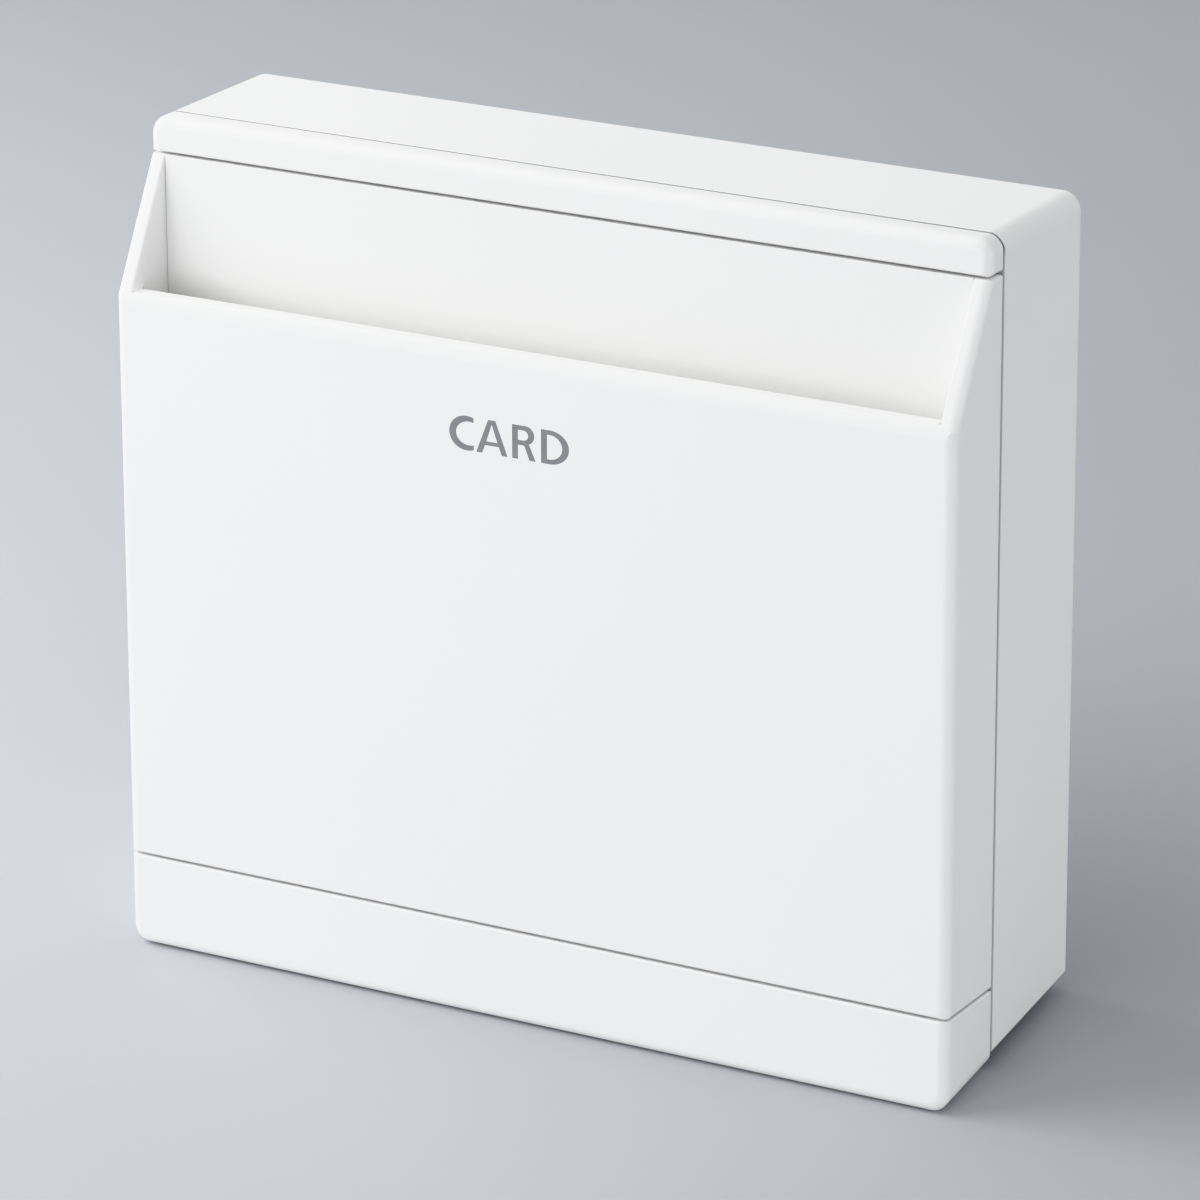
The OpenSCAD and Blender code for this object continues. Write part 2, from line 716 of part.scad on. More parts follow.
// Closes the seam under the base from inside, beside the front posts
module strip_tongue(x)
    along_x(x) polygon([[rear_s - root_d, tongue_low + tongue_t], [rear_s - root_d, base_wall - 0.5],
        [rear_s - soft_r - seam, base_wall - 0.5], [rear_s - soft_r, tongue_low],
        [rear_s + tongue_t, tongue_low], [rear_s + tongue_t, tongue_low + tongue_t]]);

module bottom_strip() color("white") {
    clear_x = tab_half + 1;
    difference() {
        intersection() {
            mirror([0, 0, 1])
                crowned(half_w, [front_y, rear_y], [-strip_z - 1, -low_z], strip_r, edge_r);
            moulding([-half_w, half_w], [front_y, rear_y], [low_z, strip_z], [0, 0, meet_r, soft_r],
                [0, 0, soft_r, soft_r], [0, 0, soft_r, soft_r]);
            under_space() under_prism(0, strip_r);
            along_x([-half_w - 1, half_w + 1])
                rounded([[front_y, low_z], [rear_y, low_z - (front_y - rear_y) * tan(under_lean)],
                    [rear_y, strip_z + 1], [front_y, strip_z + 1]], [0, soft_r, 0, 0]);
        }
        intersection() {
            block([-inner_w, inner_w], [front_y + front_t, rear_y + 1], [low_z, strip_z + 1]);
            under_space() block([-half_w, half_w], [0, body_h], [base_wall, body_h]);
        }
    }
    under_space() {
        both() translate([strip_clip_x, 0, 0]) strip_clip();
        strip_tongue([clear_x - front_screw_x, front_screw_x - clear_x]);
        both() strip_tongue([front_screw_x + clear_x, inner_w - root_d]);
    }
}

// Card lever

module card_lever() color("gainsboro") {
    stop_y = -pivot_gap + 0.1;
    stop_h = 2.5;
    translate([0, pivot_y, pivot_z]) difference() {
        along_x([-hub_half, hub_half]) union() {
            circle(hub_r);
            translate([-arm_t, -arm_l]) square([arm_t, arm_l]);
            translate([stop_y, -arm_l]) square([arm_t - stop_y - arm_t, stop_h]);
            rounded([[-nose_reach, -nose_drop], [-arm_t + 0.5, -nose_foot], [-arm_t + 0.5, -nose_top]],
                [nose_r, 0, 0]);
            translate([bump_out - bump_r, -bump_drop]) circle(bump_r);
        }
        rod_x([-hub_half - 1, hub_half + 1], pin_d + 2 * pin_fit);
    }
}

module lever_pin() color("silver") {
    groove = [pin_right + 0.1, pin_right + 0.1 + clip_ring_t];
    translate([0, pivot_y, pivot_z]) difference() {
        union() {
            rod_x([pin_left - head_t, pin_right + 1.6], pin_d);
            rod_x([pin_left - head_t, pin_left], pin_d + 1.4);
        }
        difference() {
            rod_x(groove, pin_d + 2);
            rod_x(groove + [-1, 1], pin_d * 0.7);
        }
    }
}

module pin_clip() color("dimgray") {
    groove = [pin_right + 0.1, pin_right + 0.1 + clip_ring_t];
    thin = 0.05;
    translate([0, pivot_y, pivot_z]) difference() {
        rod_x(groove + [thin, -thin], pin_d + 2.2);
        rod_x(groove + [-1, 1], pin_d * 0.7 + 2 * thin);
        block(groove + [-1, 1], [0, pin_d * 2], [-pin_d * 0.3, pin_d * 0.3]);
    }
}

// Return spring: a hooked leg behind the arm, the coil, and a leg on the plate

coil_r = coil_d / 2;
wire_r = wire_d / 2;
coil_step = 30;
hook_y = pivot_y + wire_r + 0.05;
hook_z = pivot_z - leg_drop;
exit_y = pivot_y + coil_r * cos(coil_exit);
exit_z = pivot_z + coil_r * sin(coil_exit);
seat_y = plate_y + wire_r + 0.03;
seat_run = (exit_y - seat_y) / sin(coil_exit);
coil_points = [for (a = [0 : coil_step : coil_turns * 360 + coil_exit])
    [coil_x + a / 360 * coil_pitch, pivot_y + coil_r * cos(a), pivot_z + coil_r * sin(a)]];
hook_points = [[hub_half - 5 * wire_d, hook_y, hook_z], [coil_x - 1.2 * wire_d, hook_y, hook_z],
    [coil_x - 0.3 * wire_d, hook_y + 0.1 * wire_d, hook_z + 0.4 * wire_d],
    [coil_x, hook_y + 0.4 * wire_d, hook_z + 1.6 * wire_d]];
wire_path = concat(hook_points, coil_points,
    [[coil_end, seat_y, exit_z + seat_run * cos(coil_exit)]]);

// Straight gap between two stretches of the wire that are at least half a turn apart
wire_gap = min([for (i = [0 : len(wire_path) - 1], j = [0 : len(wire_path) - 1])
    if (j - i >= 180 / coil_step) norm(wire_path[i] - wire_path[j]) - wire_d]);
echo(least_gap_of_the_spring = wire_gap);

function along(path, i) =
    let (n = len(path) - 1)
    unit(path[min(i + 1, n)] - path[max(i - 1, 0)]);

function square_to(v, t) = unit(v - (v * t) * t);

function carried(path) = [for (i = 0, v = square_to([0, 0, 1], along(path, 0)); i < len(path);
    i = i + 1, v = square_to(v, along(path, min(i, len(path) - 1)))) v];

module tube(path, r, sides) {
    n = len(path);
    frames = carried(path);
    points = [for (i = [0 : n - 1], s = [0 : sides - 1])
        let (t = along(path, i), u = frames[i], w = cross(t, u), a = s * 360 / sides)
        path[i] + r * (u * cos(a) + w * sin(a))];
    skin = [for (i = [0 : n - 2], s = [0 : sides - 1])
        let (k = (s + 1) % sides)
        [i * sides + s, (i + 1) * sides + s, (i + 1) * sides + k, i * sides + k]];
    caps = [[for (s = [0 : sides - 1]) s], [for (s = [sides - 1 : -1 : 0]) (n - 1) * sides + s]];
    polyhedron(points, concat(skin, caps));
}

module return_spring() color("slategray") tube(wire_path, wire_r, 8);

// Microswitch

module switch_case() color("dimgray") {
    half = switch_w / 2;
    sleeve_y = case_y + plunger_sleeve;
    difference() {
        moulding([-half, half], [case_y, board_front], [case_low, case_low + switch_l],
            [0.4, 0, 0, 0.4], [0.4, 0.4, 0.4, 0.4], [0.4, 0.4, 0, 0]);
        at([0, bump_z], 0) {
            rod_y([case_y - 1, sleeve_y + 0.5], plunger_d + 0.16);
            rod_y([sleeve_y, sleeve_y + plunger_foot + plunger_stroke + 0.2], plunger_d + 1.4);
        }
        for (z = [case_low + 3.2, case_low + switch_l - 3.2])
            translate([0, board_front - 1.8, z]) rod_x([-half - 1, half + 1], 1.6);
    }
}

module switch_plunger() color("firebrick") {
    sleeve_y = case_y + plunger_sleeve;
    at([0, bump_z], 0) {
        rod_y([plunger_y, sleeve_y + plunger_foot], plunger_d);
        rod_y([sleeve_y + 0.05, sleeve_y + plunger_foot], plunger_d + 1);
    }
}

// Circuit board and what is on it

module circuit_board() color("seagreen") {
    low = board_z - board_h / 2;
    difference() {
        along_y([board_front, board_back])
            box_outline([-board_w / 2, board_w / 2], [low, low + board_h], [1, 1, 1, 1]);
        for (p = board_posts)
            at(p, 0) rod_y([board_front - 1, board_back + 1], board_screw_d + 0.3);
        for (p = lead_spots)
            at(p, 0) rod_y([board_front - 1, board_back + 1], lead_d + 2 * lead_fit);
    }
}

module boxed(p, l, w, h, r)
    moulding(span(p[0], l / 2), [board_front - h, board_front], span(p[1], w / 2),
        [r, 0, 0, r], [r, r, r, r], [r, r, 0, 0]);

module relay() color("royalblue") difference() {
    boxed(relay_at, relay_l, relay_w, relay_h, 0.6);
    // vent pip and the standing groove round the foot
    at(relay_at + [relay_l / 2 - 2, 0], 0)
        rod_y([board_front - relay_h - 1, board_front - relay_h + 0.4], 1.4);
    block(span(relay_at[0], relay_l / 2 - 1.5), [board_front - 0.5, board_front + 1],
        span(relay_at[1] - relay_w / 2, 0.8));
}

module film_capacitor() color("goldenrod") difference() {
    boxed(film_at, film_l, film_w, film_h, 0.9);
    block(span(film_at[0], film_l / 2 - 2), [board_front - 0.6, board_front + 1], span(film_at[1], film_w));
}

module filter_capacitor() color("midnightblue") {
    r = filter_d / 2;
    neck = 0.5;
    crimp = 2.4;
    at(filter_at, board_front) rotate([90, 0, 0]) rotate_extrude() difference() {
        rounded([[0, 0], [r, 0], [r, filter_h], [0, filter_h]], [0, 0.6, 0.8, 0]);
        translate([r + neck * 0.6, crimp]) circle(neck * 1.6);
        translate([-1, filter_h - 0.3]) square([r * 0.75 + 1, 1]);
    }
}

module varistor() color("darkorange") {
    r = varistor_d / 2;
    half = varistor_t / 2;
    difference() {
        translate([varistor_at[0], board_front - r, varistor_at[1]]) rotate_extrude()
            rounded([[0, -half], [r, -half], [r, half], [0, half]], [0, 1, 1, 0]);
        for (p = varistor_leads)
            at(p, 0) rod_y([board_front - 2, board_front + 1], lead_d + lead_fit);
    }
}

module fuse_link() color("saddlebrown") {
    r = fuse_d / 2;
    at(fuse_at, board_front) rotate([90, 0, 0]) rotate_extrude()
        rounded([[0, 0], [r, 0], [r, fuse_h], [0, fuse_h]], [0, 0.3, 1, 0]);
}

module timer_chip() color("black") difference() {
    boxed(chip_at, chip_l, chip_w, chip_h, 0.4);
    at(chip_at - [chip_l / 2, 0], 0)
        rod_y([board_front - chip_h - 1, board_front - chip_h + 0.6], chip_notch_d);
}

module component_leads() color("lightgray") {
    for (p = concat(relay_leads, film_leads, filter_leads, fuse_leads, switch_leads, way_leads))
        at(p, 0) rod_y([board_front, board_back + lead_tail], lead_d);
    for (p = varistor_leads)
        at(p, 0) rod_y([board_front - 1.8, board_back + lead_tail], lead_d);
    // the chip's legs are bent down from its sides
    for (p = chip_leads) {
        side = p[1] > chip_at[1] ? 1 : -1;
        at(p, 0) rod_y([board_front - chip_h / 2, board_back + lead_tail], lead_d);
        block(span(p[0], 0.3), span(board_front - chip_h / 2, 0.3),
            [min(p[1], chip_at[1] + side * chip_w / 2), max(p[1], chip_at[1] + side * chip_w / 2)]);
    }
}

module way_cavity(x) {
    g = cage_gap;
    block(span(x, cage_w / 2 + g), [board_front - cage_up - cage_h - g, board_front + 1],
        span(block_z, cage_l / 2 + g));
    at([x, block_z], 0) rod_y([board_front - block_h - 1, board_front - cage_up], way_head_d + 0.3);
    // funnelled wire entry from below
    translate([x, board_front - cage_up - wire_mid, block_z - block_l / 2 - 1]) {
        cylinder(h = block_l / 2, d = 2 * wire_half + 0.6);
        cylinder(h = 2, d1 = 4 * wire_half, d2 = 2 * wire_half + 0.6);
    }
}

module terminal_blocks() color("darkgreen") {
    len_x = way_count * way_pitch;
    difference() {
        for (x = blocks)
            along_x(span(x, len_x / 2))
                rounded([[board_front - block_h, block_z - block_l / 2 + 2.5],
                    [board_front - block_h + 3, block_z - block_l / 2],
                    [board_front, block_z - block_l / 2], [board_front, block_z + block_l / 2],
                    [board_front - block_h, block_z + block_l / 2]], [0.4, 0.4, 0, 0, 0.4]);
        for (x = ways)
            way_cavity(x);
    }
}

module terminal_clamps() color("gold") for (x = ways) difference() {
    block(span(x, cage_w / 2), [board_front - cage_up - cage_h, board_front - cage_up],
        span(block_z, cage_l / 2));
    block(span(x, wire_half_w), span(board_front - cage_up - wire_mid, wire_half), span(block_z, cage_l));
    at([x, block_z], 0)
        rod_y([board_front - block_h, board_front - cage_up - wire_mid], way_screw_d + 0.06);
}

module terminal_screws() color("lightgray") for (x = ways) {
    seat_y = board_front - cage_up - cage_h - 0.25;
    at([x, block_z], 0) difference() {
        union() {
            rod_y([seat_y - way_head_h, seat_y], way_head_d);
            rod_y([seat_y - 0.5, board_front - cage_up - way_tip_up], way_screw_d);
        }
        block([-way_head_d, way_head_d], [seat_y - way_head_h - 1, seat_y - way_head_h + 0.8],
            [-screw_slot / 2, screw_slot / 2]);
    }
}

// Fasteners

module board_screws() color("silver") for (p = board_posts)
    at(p, board_front) pan_screw(board_screw_d, board_screw_l);

module plate_screws() color("silver") both()
    at([plate_screw_x, plate_screw_z], face_y) pan_screw(body_screw_d, plate_screw_l);

module front_screws() color("silver") both()
    at([front_screw_x, front_screw_z], rear_y - tab_t) pan_screw(body_screw_d, front_screw_l);

wall_base();
pocket_front();
pocket_back();
top_bar();
bottom_strip();
card_lever();
lever_pin();
pin_clip();
return_spring();
switch_case();
switch_plunger();
circuit_board();
relay();
film_capacitor();
filter_capacitor();
varistor();
fuse_link();
timer_chip();
component_leads();
terminal_blocks();
terminal_clamps();
terminal_screws();
board_screws();
plate_screws();
front_screws();
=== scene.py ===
import json
import math

import bmesh
import bpy
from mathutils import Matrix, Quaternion, Vector


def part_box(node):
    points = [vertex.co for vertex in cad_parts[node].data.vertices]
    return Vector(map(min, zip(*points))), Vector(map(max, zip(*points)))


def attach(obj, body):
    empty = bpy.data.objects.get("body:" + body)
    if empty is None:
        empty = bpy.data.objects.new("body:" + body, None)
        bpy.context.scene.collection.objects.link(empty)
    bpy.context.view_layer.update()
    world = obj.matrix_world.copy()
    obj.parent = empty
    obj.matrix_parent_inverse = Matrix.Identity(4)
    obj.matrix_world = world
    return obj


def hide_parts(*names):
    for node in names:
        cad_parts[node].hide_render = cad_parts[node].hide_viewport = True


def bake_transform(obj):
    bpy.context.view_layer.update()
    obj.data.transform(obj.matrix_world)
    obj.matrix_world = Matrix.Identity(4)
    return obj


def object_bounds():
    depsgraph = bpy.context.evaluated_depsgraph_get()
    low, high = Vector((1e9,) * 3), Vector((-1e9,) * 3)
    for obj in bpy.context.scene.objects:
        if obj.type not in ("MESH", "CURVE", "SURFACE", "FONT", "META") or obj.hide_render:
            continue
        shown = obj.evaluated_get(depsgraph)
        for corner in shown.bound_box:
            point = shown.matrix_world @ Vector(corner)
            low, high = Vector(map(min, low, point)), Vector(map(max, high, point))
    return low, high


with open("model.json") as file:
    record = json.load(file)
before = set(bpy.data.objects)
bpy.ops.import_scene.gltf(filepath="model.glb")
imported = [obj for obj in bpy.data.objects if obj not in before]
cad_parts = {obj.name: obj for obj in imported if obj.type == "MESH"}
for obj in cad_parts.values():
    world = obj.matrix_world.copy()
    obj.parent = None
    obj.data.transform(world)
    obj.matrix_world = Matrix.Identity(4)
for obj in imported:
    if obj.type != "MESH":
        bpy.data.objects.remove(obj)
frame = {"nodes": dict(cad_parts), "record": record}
cadLow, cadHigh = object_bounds()
nodes = frame["nodes"]
print("frame loaded with", len(nodes), "nodes")

mm = 0.001
um = 0.000001

# Camera, as the photograph looks at the switch
cameraView = {
    "azimuth": 29.55,        # degrees to the right of the front
    "elevation": 19.18,      # degrees above the horizon
    "roll": -0.2,
    "distance": 0.73334,
    "target": (0.000485, -0.012549, -0.002558),
    "lens": 207.04,
    "sensor": 36.0,
    "clip": (0.01, 100),
}


def backVector(azimuth, elevation):
    a, e = math.radians(azimuth), math.radians(elevation)
    return Vector((math.sin(a) * math.cos(e), -math.cos(a) * math.cos(e), math.sin(e)))


def makeCamera(view):
    data = bpy.data.cameras.new("photoCamera")
    data.lens = view["lens"]
    data.sensor_width = view["sensor"]
    data.clip_start, data.clip_end = view["clip"]
    obj = bpy.data.objects.new("photoCamera", data)
    back = backVector(view["azimuth"], view["elevation"])
    obj.location = Vector(view["target"]) + back * view["distance"]
    turn = Quaternion((0, 0, 1), math.radians(view["roll"]))
    obj.rotation_euler = (back.to_track_quat("Z", "Y") @ turn).to_euler()
    bpy.context.scene.collection.objects.link(obj)
    bpy.context.scene.camera = obj


makeCamera(cameraView)
print("camera placed")

# Studio: a pale room, and soft white lamps aimed at the middle of the switch
studio = {
    "roomColor": (0.97, 0.98, 1.0),
    "roomStrength": 0.6,
    "aim": (0, -0.014, 0),
    "lamps": {
        # name: azimuth, elevation, distance, size, watts
        "keyLamp": (-38, 48, 0.75, 0.50, 0.460),
        "leftTopLamp": (-65, 45, 0.35, 0.25, 0.580),
        "leftLamp": (-70, 20, 0.35, 0.25, 0.437),
        "leftBackLamp": (-95, 25, 0.45, 0.30, 0.640),
        "frontLamp": (-10, 8, 0.45, 0.30, 0.540),
        "rightLamp": (85, 4, 0.70, 0.35, 1.000),
    },
}


def makeLamp(name, aim, azimuth, elevation, distance, size, watts):
    data = bpy.data.lights.new(name, "AREA")
    data.shape = "DISK"
    data.size = size
    data.energy = watts
    obj = bpy.data.objects.new(name, data)
    back = backVector(azimuth, elevation)
    obj.location = Vector(aim) + back * distance
    obj.rotation_euler = back.to_track_quat("Z", "Y").to_euler()
    bpy.context.scene.collection.objects.link(obj)


def makeRoom(settings):
    world = bpy.data.worlds.new("studioRoom")
    bpy.context.scene.world = world
    world.use_nodes = True
    background = world.node_tree.nodes["Background"]
    background.inputs["Color"].default_value = (*settings["roomColor"], 1)
    background.inputs["Strength"].default_value = settings["roomStrength"]
    for name, values in settings["lamps"].items():
        makeLamp(name, settings["aim"], *values)
    bpy.context.scene.view_settings.view_transform = "Khronos PBR Neutral"


makeRoom(studio)
print("studio lit by", len(studio["lamps"]), "lamps")

noiseSpan = (0.3, 0.7)       # nearly all of a noise texture's values lie between these
facingShare = 0.5            # a face looks along an axis when its normal has more than this of it


# Small helpers for node trees
def addNode(tree, kind, **values):
    node = tree.nodes.new(kind)
    for key, value in values.items():
        if key in node.inputs:
            node.inputs[key].default_value = value
        else:
            setattr(node, key, value)
    return node


def newGroup(name, inputs, outputs):
    group = bpy.data.node_groups.new(name, "ShaderNodeTree")
    for label, kind, value in inputs:
        socket = group.interface.new_socket(label, in_out="INPUT", socket_type="NodeSocket" + kind)
        socket.default_value = value
    for label, kind in outputs:
        group.interface.new_socket(label, in_out="OUTPUT", socket_type="NodeSocket" + kind)
    start = group.nodes.new("NodeGroupInput")
    end = group.nodes.new("NodeGroupOutput")
    return group, start, end


def placeGroup(tree, group, **values):
    node = tree.nodes.new("ShaderNodeGroup")
    node.node_tree = group
    for key, value in values.items():
        node.inputs[key].default_value = value
    return node


def mathNode(tree, operation, a, b=0, clamp=False):
    node = tree.nodes.new("ShaderNodeMath")
    node.operation = operation
    node.use_clamp = clamp
    for socket, value in zip(node.inputs, (a, b)):
        if isinstance(value, (int, float)):
            socket.default_value = value
        else:
            tree.links.new(value, socket)
    return node.outputs[0]


def mixColor(tree, factor, a, b):
    node = tree.nodes.new("ShaderNodeMix")
    node.data_type = "RGBA"
    for label, value in (("Factor_Float", factor), ("A_Color", a), ("B_Color", b)):
        socket = next(s for s in node.inputs if s.identifier == label)
        if isinstance(value, tuple):
            socket.default_value = (*value, 1)
        else:
            tree.links.new(value, socket)
    return next(s for s in node.outputs if s.identifier == "Result_Color")


# A noise value, stretched to run from low to high
def spread(tree, value, low=0.0, high=1.0):
    ends = {"From Min": noiseSpan[0], "From Max": noiseSpan[1], "To Min": low, "To Max": high}
    node = addNode(tree, "ShaderNodeMapRange", **ends)
    tree.links.new(value, node.inputs["Value"])
    return node.outputs[0]


# Moulded grain: fine spark-eroded texture, slow flow clouds and specks of a moulding
def makeMouldedGrain():
    speckShare = 0.35                                # specks are coarser than the grain
    inputs = [("Grain Scale", "Float", 2600.0), ("Cloud Scale", "Float", 26.0)]
    outputs = [("Height", "Float"), ("Cloud", "Float"), ("Speck", "Float")]
    group, start, end = newGroup("mouldedGrain", inputs, outputs)
    coord = group.nodes.new("ShaderNodeTexCoord")
    grain = addNode(group, "ShaderNodeTexNoise", Detail=2.0, Roughness=0.5)
    cloud = addNode(group, "ShaderNodeTexNoise", Detail=3.0, Roughness=0.55)
    speck = addNode(group, "ShaderNodeTexNoise", Detail=1.0, Roughness=0.4)
    grainScale = start.outputs["Grain Scale"]
    cloudScale = start.outputs["Cloud Scale"]
    speckScale = mathNode(group, "MULTIPLY", grainScale, speckShare)
    for node, scale in ((grain, grainScale), (cloud, cloudScale), (speck, speckScale)):
        group.links.new(coord.outputs["Object"], node.inputs["Vector"])
        group.links.new(scale, node.inputs["Scale"])
    for node, label in ((grain, "Height"), (cloud, "Cloud"), (speck, "Speck")):
        group.links.new(node.outputs["Fac"], end.inputs[label])
    return group


# Drawn lines: fine marks along one axis, as on ground pins and drawn wire
def makeDrawnLines():
    inputs = [("Stretch", "Vector", (60.0, 3000.0, 3000.0)), ("Blotch Scale", "Float", 300.0)]
    outputs = [("Height", "Float"), ("Blotch", "Float")]
    group, start, end = newGroup("drawnLines", inputs, outputs)
    coord = group.nodes.new("ShaderNodeTexCoord")
    scaled = addNode(group, "ShaderNodeVectorMath", operation="MULTIPLY")
    group.links.new(coord.outputs["Object"], scaled.inputs[0])
    group.links.new(start.outputs["Stretch"], scaled.inputs[1])
    lines = addNode(group, "ShaderNodeTexNoise", Scale=1.0, Detail=3.0, Roughness=0.6)
    group.links.new(scaled.outputs["Vector"], lines.inputs["Vector"])
    blotch = addNode(group, "ShaderNodeTexNoise", Detail=2.0, Roughness=0.5)
    group.links.new(coord.outputs["Object"], blotch.inputs["Vector"])
    group.links.new(start.outputs["Blotch Scale"], blotch.inputs["Scale"])
    group.links.new(lines.outputs["Fac"], end.inputs["Height"])
    group.links.new(blotch.outputs["Fac"], end.inputs["Blotch"])
    return group


mouldedGrain = makeMouldedGrain()
drawnLines = makeDrawnLines()


def placeGrain(tree, look):
    return placeGroup(tree, mouldedGrain, **{"Grain Scale": look["grain"], "Cloud Scale": look["cloud"]})


def newMaterial(name):
    material = bpy.data.materials.new(name)
    material.use_nodes = True
    tree = material.node_tree
    return material, tree, tree.nodes["Principled BSDF"]


def bumpTo(tree, shader, height, distance):
    bump = addNode(tree, "ShaderNodeBump", Distance=distance * um, Strength=1.0)
    tree.links.new(height, bump.inputs["Height"])
    tree.links.new(bump.outputs["Normal"], shader.inputs["Normal"])


# Plastics: two tones that drift over the piece, a band of roughness, and a fine grain
# Grain and cloud are marks to a metre, bump is in micrometres, and the seam in millimetres
plastics = {
    "shell_white": {"tones": ((0.912, 0.910, 0.900), (0.935, 0.933, 0.923)), "rough": (0.36, 0.42),
                    "grain": 5200.0, "cloud": 26.0, "bump": 1.6,
                    # painted shade: a darkened band in the seam between the base and the front
                    # mouldings, darker on top
                    "seam": {"plane": -17.5, "reach": 0.25, "topReach": 2.5,
                             "sideShade": (0.66, 0.66, 0.67), "topShade": (0.36, 0.36, 0.37)}},
    "lever_grey": {"tones": ((0.74, 0.74, 0.73), (0.79, 0.79, 0.78)), "rough": (0.34, 0.42),
                   "grain": 5200.0, "cloud": 90.0, "bump": 3.0},
    "switch_black": {"tones": ((0.018, 0.018, 0.019), (0.027, 0.027, 0.028)), "rough": (0.38, 0.50),
                     "grain": 4200.0, "cloud": 160.0, "bump": 5.0},
    "plunger_red": {"tones": ((0.40, 0.032, 0.026), (0.50, 0.048, 0.038)), "rough": (0.28, 0.38),
                    "grain": 5200.0, "cloud": 240.0, "bump": 3.0},
    "relay_blue": {"tones": ((0.015, 0.085, 0.31), (0.022, 0.115, 0.39)), "rough": (0.30, 0.42),
                   "grain": 4200.0, "cloud": 110.0, "bump": 4.0},
    "film_yellow": {"tones": ((0.70, 0.40, 0.045), (0.80, 0.49, 0.07)), "rough": (0.34, 0.46),
                    "grain": 3600.0, "cloud": 130.0, "bump": 6.0},
    "disc_blue": {"tones": ((0.018, 0.12, 0.34), (0.03, 0.17, 0.45)), "rough": (0.20, 0.32),
                  "grain": 1500.0, "cloud": 260.0, "bump": 22.0},
    "fuse_brown": {"tones": ((0.13, 0.045, 0.022), (0.19, 0.07, 0.034)), "rough": (0.32, 0.44),
                   "grain": 3600.0, "cloud": 190.0, "bump": 6.0},
    "chip_black": {"tones": ((0.013, 0.013, 0.014), (0.026, 0.026, 0.027)), "rough": (0.54, 0.70),
                   "grain": 7000.0, "cloud": 220.0, "bump": 8.0},
    "block_green": {"tones": ((0.018, 0.19, 0.065), (0.03, 0.25, 0.09)), "rough": (0.30, 0.42),
                    "grain": 4200.0, "cloud": 120.0, "bump": 4.0},
}


# Painted shade in the seam between the base and the front mouldings, darker where the seam crosses the
# top
def paintedSeamShade(tree, seam, tone):
    coord = tree.nodes.new("ShaderNodeTexCoord")
    place = tree.nodes.new("ShaderNodeSeparateXYZ")
    facing = tree.nodes.new("ShaderNodeSeparateXYZ")
    tree.links.new(coord.outputs["Object"], place.inputs[0])
    tree.links.new(coord.outputs["Normal"], facing.inputs[0])
    offset = mathNode(tree, "SUBTRACT", place.outputs["Y"], seam["plane"] * mm)
    near = mathNode(tree, "LESS_THAN", mathNode(tree, "ABSOLUTE", offset), seam["reach"] * mm)
    square = mathNode(tree, "ABSOLUTE", facing.outputs["Y"])
    inward = mathNode(tree, "GREATER_THAN", square, facingShare)     # faces that look into the seam
    above = mathNode(tree, "SUBTRACT", place.outputs["Z"], cadHigh.z - seam["topReach"] * mm)
    onTop = mathNode(tree, "DIVIDE", above, seam["topReach"] * mm / 2, clamp=True)
    shadeTone = mixColor(tree, onTop, seam["sideShade"], seam["topShade"])
    return mixColor(tree, mathNode(tree, "MULTIPLY", near, inward), tone, shadeTone)


def plasticMaterial(name, look):
    material, tree, shader = newMaterial(name)
    grain = placeGrain(tree, look)
    tone = mixColor(tree, spread(tree, grain.outputs["Cloud"]), *look["tones"])
    if "seam" in look:
        # paints shade into the seam band between the base and the front mouldings
        tone = paintedSeamShade(tree, look["seam"], tone)
    tree.links.new(tone, shader.inputs["Base Color"])
    tree.links.new(spread(tree, grain.outputs["Speck"], *look["rough"]), shader.inputs["Roughness"])
    bumpTo(tree, shader, grain.outputs["Height"], look["bump"])
    return material


# Metals: drawn or ground lines along one axis, with blotches of tone and polish
# Stretch and blotch are marks to a metre, and bump is in micrometres
metals = {
    "pin_steel": {"tones": ((0.56, 0.55, 0.53), (0.66, 0.65, 0.63)), "rough": (0.14, 0.28),
                  "stretch": (160.0, 5200.0, 5200.0), "blotch": 420.0, "bump": 2.0},
    "clip_steel": {"tones": ((0.17, 0.17, 0.18), (0.27, 0.27, 0.28)), "rough": (0.34, 0.52),
                   "stretch": (5200.0, 900.0, 900.0), "blotch": 900.0, "bump": 3.0},
    "spring_steel": {"tones": ((0.48, 0.48, 0.47), (0.60, 0.59, 0.57)), "rough": (0.20, 0.34),
                     "stretch": (5200.0, 1200.0, 1200.0), "blotch": 700.0, "bump": 3.0},
    "tinned_lead": {"tones": ((0.64, 0.64, 0.63), (0.77, 0.77, 0.75)), "rough": (0.18, 0.42),
                    "stretch": (2200.0, 900.0, 2200.0), "blotch": 1100.0, "bump": 6.0},
    "clamp_brass": {"tones": ((0.66, 0.45, 0.18), (0.78, 0.57, 0.27)), "rough": (0.20, 0.36),
                    "stretch": (5200.0, 200.0, 5200.0), "blotch": 360.0, "bump": 3.0},
    "plated_screw": {"tones": ((0.60, 0.58, 0.54), (0.72, 0.70, 0.66)), "rough": (0.14, 0.28),
                     "stretch": (2600.0, 5200.0, 2600.0), "blotch": 520.0, "bump": 2.0},
    "zinc_screw": {"tones": ((0.53, 0.58, 0.62), (0.68, 0.69, 0.66)), "rough": (0.24, 0.44),
                   "stretch": (2600.0, 5200.0, 2600.0), "blotch": 640.0, "bump": 4.0},
}


def metalMaterial(name, look):
    material, tree, shader = newMaterial(name)
    lines = placeGroup(tree, drawnLines, **{"Stretch": look["stretch"], "Blotch Scale": look["blotch"]})
    tone = mixColor(tree, spread(tree, lines.outputs["Blotch"]), *look["tones"])
    tree.links.new(tone, shader.inputs["Base Color"])
    tree.links.new(spread(tree, lines.outputs["Height"], *look["rough"]), shader.inputs["Roughness"])
    shader.inputs["Metallic"].default_value = 1.0
    bumpTo(tree, shader, lines.outputs["Height"], look["bump"])
    return material


